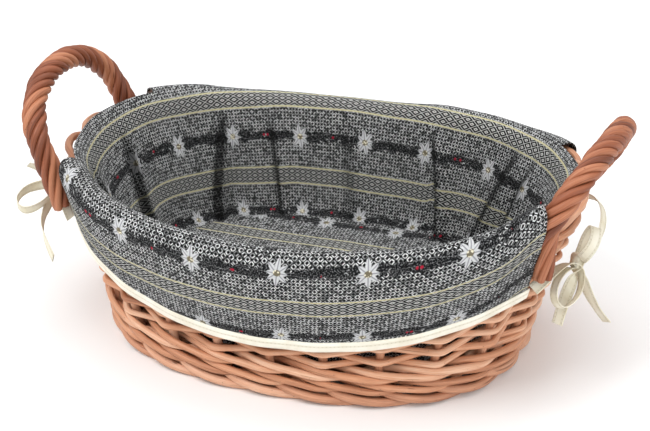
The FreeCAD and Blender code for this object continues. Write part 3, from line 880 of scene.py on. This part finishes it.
# ---- tie tapes ----
TIE_WIDTH = 8.0
TIE_THICKNESS = 0.7
TIES = {
    "right_front_tie": [(0.157, -0.068, 0.081), (0.168, -0.056, 0.091), (0.177, -0.044, 0.092),
                        (0.184, -0.044, 0.084), (0.184, -0.056, 0.074), (0.176, -0.068, 0.069),
                        (0.169, -0.068, 0.077), (0.170, -0.057, 0.087), (0.177, -0.044, 0.089),
                        (0.183, -0.040, 0.079), (0.188, -0.040, 0.068), (0.194, -0.039, 0.057),
                        (0.201, -0.036, 0.047)],
    "right_back_tie": [(0.157, 0.068, 0.081), (0.176, 0.046, 0.095), (0.187, 0.020, 0.099),
                       (0.190, -0.006, 0.097), (0.186, -0.028, 0.092), (0.180, -0.040, 0.091),
                       (0.184, -0.051, 0.099), (0.190, -0.050, 0.110), (0.189, -0.039, 0.117),
                       (0.184, -0.033, 0.107), (0.181, -0.038, 0.094), (0.179, -0.049, 0.083),
                       (0.175, -0.058, 0.070), (0.173, -0.063, 0.056)],
    "left_front_tie": [(-0.157, -0.068, 0.081), (-0.168, -0.056, 0.091), (-0.177, -0.044, 0.092),
                       (-0.188, -0.045, 0.091), (-0.198, -0.054, 0.090), (-0.200, -0.066, 0.086),
                       (-0.191, -0.072, 0.082), (-0.182, -0.064, 0.084), (-0.178, -0.051, 0.089),
                       (-0.183, -0.043, 0.096), (-0.190, -0.044, 0.102), (-0.197, -0.048, 0.106)],
    "left_back_tie": [(-0.157, 0.068, 0.081), (-0.176, 0.046, 0.093), (-0.186, 0.020, 0.097),
                      (-0.188, -0.006, 0.096), (-0.185, -0.026, 0.093), (-0.180, -0.040, 0.089),
                      (-0.181, -0.054, 0.082), (-0.180, -0.068, 0.075), (-0.172, -0.081, 0.069),
                      (-0.160, -0.092, 0.062)],
}


def spline_points(name, route):
    """Points read from the smooth spline whose control points are the route."""
    curve = bpy.data.curves.new(name + "_route", "CURVE")
    curve.dimensions = "3D"
    curve.resolution_u = 12
    spline = curve.splines.new("NURBS")
    spline.points.add(len(route) - 1)
    for point, place in zip(spline.points, route):
        point.co = (*place, 1.0)
    spline.order_u = 3
    spline.use_endpoint_u = True
    obj = bpy.data.objects.new(name + "_route", curve)
    mesh = bpy.data.meshes.new_from_object(obj)
    points = np.array([vertex.co[:] for vertex in mesh.vertices])
    bpy.data.objects.remove(obj)
    bpy.data.curves.remove(curve)
    bpy.data.meshes.remove(mesh)
    return points


def tape_frames(line):
    """Tangent, width direction and face direction: a tape bends only about its own width."""
    tangent = unit(np.gradient(line, axis=0))
    turn = np.cross(tangent[:-1], tangent[1:])
    width = np.zeros_like(line)
    last = np.array([0.0, 0.0, 1.0])
    for i in range(len(line)):
        near = turn[max(0, i - 7):i + 8].sum(axis=0)
        if near.dot(last) < 0:
            near = -near
        guess = last + near * 6
        guess = guess - tangent[i] * guess.dot(tangent[i])
        last = guess / np.linalg.norm(guess)
        width[i] = last
    smooth = np.stack([np.convolve(np.pad(width[:, k], 9, "edge"), np.ones(19) / 19, "valid")
                       for k in range(3)], axis=-1)
    smooth = unit(smooth - tangent * (smooth * tangent).sum(axis=1, keepdims=True))
    return tangent, smooth, np.cross(tangent, smooth)


def tie(name, route):
    """A flat tape along its route."""
    path = spline_points(name, route)
    line = resampled(path / MM, 1.2)
    _, width, face = tape_frames(line)
    length = arc_length(line)
    edge = TIE_WIDTH / 2
    profile = [(-edge, 0), (-edge + 0.5, 0.5), (-2.6, 0.38), (0, 0.5), (2.6, 0.38), (edge - 0.5, 0.5),
               (edge, 0), (edge - 0.5, -0.5), (2.6, -0.38), (0, -0.5), (-2.6, -0.38), (-edge + 0.5, -0.5)]
    columns = []
    for across, thick in profile:
        columns.append(line + width * across + face * thick * TIE_THICKNESS)
    points = np.stack(columns, axis=1)
    across = np.array([p[0] for p in profile] + [profile[0][0]])
    uv = np.stack(np.meshgrid(length, across, indexing="ij"), axis=-1)
    b = Builder()
    b.grid(points, uv, closed_v=True)
    obj = b.make(name + "_tape", TIE_COTTON, [name])
    return obj


def bow_knot(end, word):
    """The crossing of a bow: a lump of tape with wrapped folds."""
    rows = 24
    cols = 32
    theta = np.linspace(0.02, np.pi - 0.02, rows)[:, None]
    phi = (np.arange(cols) * 2 * np.pi / cols)[None]
    wrap = 1 + 0.10 * np.cos(3 * phi + 4 * theta) * np.sin(theta) + 0.06 * np.sin(5 * theta - 2 * phi)
    x = 4.2 * np.sin(theta) * np.cos(phi) * wrap
    y = 5.6 * np.cos(theta) * wrap
    z = 5.2 * np.sin(theta) * np.sin(phi) * wrap
    points = np.stack([end * 179.0 + x, -41.0 + y, 91.0 + z], axis=-1)
    uv = np.stack(np.meshgrid(np.arange(rows) * 0.7, np.arange(cols + 1) * 0.9, indexing="ij"), axis=-1)
    b = Builder()
    b.grid(points, uv, closed_v=True)
    return b.make(word + "_bow_knot_tape", TIE_COTTON, [word + "_bow_knot"])


# ---- camera, floor and light ----
CAMERA_DISTANCE = 0.972
CAMERA_TARGET = Vector((0.0, 0.0, 0.06))
AZIMUTH = math.radians(17.6)
ELEVATION = math.radians(28.4)


def make_camera():
    data = bpy.data.cameras.new("camera")
    data.lens = 77.65
    data.sensor_width = 36.0
    data.shift_x = 0.0026
    data.shift_y = 0.0268
    camera = bpy.data.objects.new("camera", data)
    level = math.cos(ELEVATION)
    direction = Vector((math.sin(AZIMUTH) * level, -math.cos(AZIMUTH) * level, math.sin(ELEVATION)))
    camera.location = CAMERA_TARGET + direction * CAMERA_DISTANCE
    camera.rotation_euler = direction.to_track_quat("Z", "Y").to_euler()
    bpy.context.scene.collection.objects.link(camera)
    bpy.context.scene.camera = camera


def soft_box(name, place, size, power):
    data = bpy.data.lights.new(name, "AREA")
    data.shape = "SQUARE"
    data.size = size
    data.energy = power
    light = bpy.data.objects.new(name, data)
    light.location = place
    light.rotation_euler = (CAMERA_TARGET - Vector(place)).to_track_quat("-Z", "Y").to_euler()
    bpy.context.scene.collection.objects.link(light)


def make_stage():
    """Pale floor, even surrounding light and three soft boxes."""
    mesh = bpy.data.meshes.new("floor")
    half = 6.0
    corners = [(-half, -half, 0), (half, -half, 0), (half, half, 0), (-half, half, 0)]
    mesh.from_pydata(corners, [], [(0, 1, 2, 3)])
    mesh.materials.append(plain("floor_white", (0.9, 0.9, 0.9, 1.0)))
    floor = bpy.data.objects.new("floor", mesh)
    bpy.context.scene.collection.objects.link(floor)
    world = bpy.data.worlds.new("studio")
    bpy.context.scene.world = world
    world.use_nodes = True
    back = world.node_tree.nodes["Background"]
    back.inputs["Color"].default_value = (1.0, 1.0, 1.0, 1.0)
    back.inputs["Strength"].default_value = 0.75
    soft_box("key_light", (-0.7, -0.8, 1.4), 0.9, 16.0)
    soft_box("fill_light", (1.3, -0.7, 0.8), 1.0, 7.0)
    soft_box("top_light", (0.1, 0.5, 1.6), 1.2, 10.0)
    bpy.context.scene.view_settings.view_transform = "Standard"


make_camera()
for tie_name, tie_route in TIES.items():
    tie(tie_name, tie_route)
bow_knot(1, "right")
bow_knot(-1, "left")
for number in range(STAKE_COUNT):
    stake(number)
for number in range(ROW_COUNT):
    weave_row(number)
for wale_name, height, first_stake in WALES:
    wale(wale_name, height, first_stake)
finish_base()
handle(1, "right")
handle(-1, "left")
liner_wall_cloth, liner_floor_cloth, cuff_cloths = make_liner()
make_stage()
